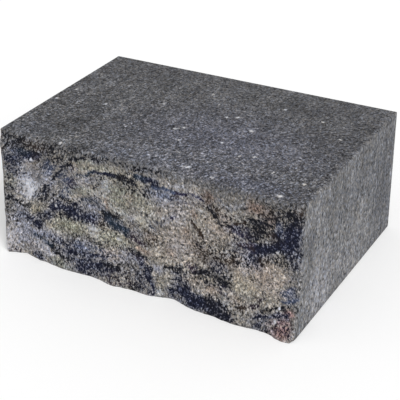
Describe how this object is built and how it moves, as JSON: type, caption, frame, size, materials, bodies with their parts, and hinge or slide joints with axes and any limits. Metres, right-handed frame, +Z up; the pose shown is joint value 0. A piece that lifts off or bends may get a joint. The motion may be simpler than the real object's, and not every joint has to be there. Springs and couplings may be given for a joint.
{
  "type": "split-face retaining wall block",
  "caption": "Solid moulded concrete wall block with a rough split front face, flat bed, top, ends and back.",
  "frame": {"origin": "middle of the bed: halfway along the block, and halfway between the back and the nominal split line", "axes": "+X along the wall, -Y out of the split face, +Z up from the bed to the top"},
  "size_m": [0.381, 0.2771, 0.1524],
  "materials": {
    "blended_concrete": "rough, fine-grained, grey with tan and charcoal marbling on the split face"
  },
  "bodies": {
    "root": {"wall_block": "blended_concrete"}
  },
  "joints": []
}
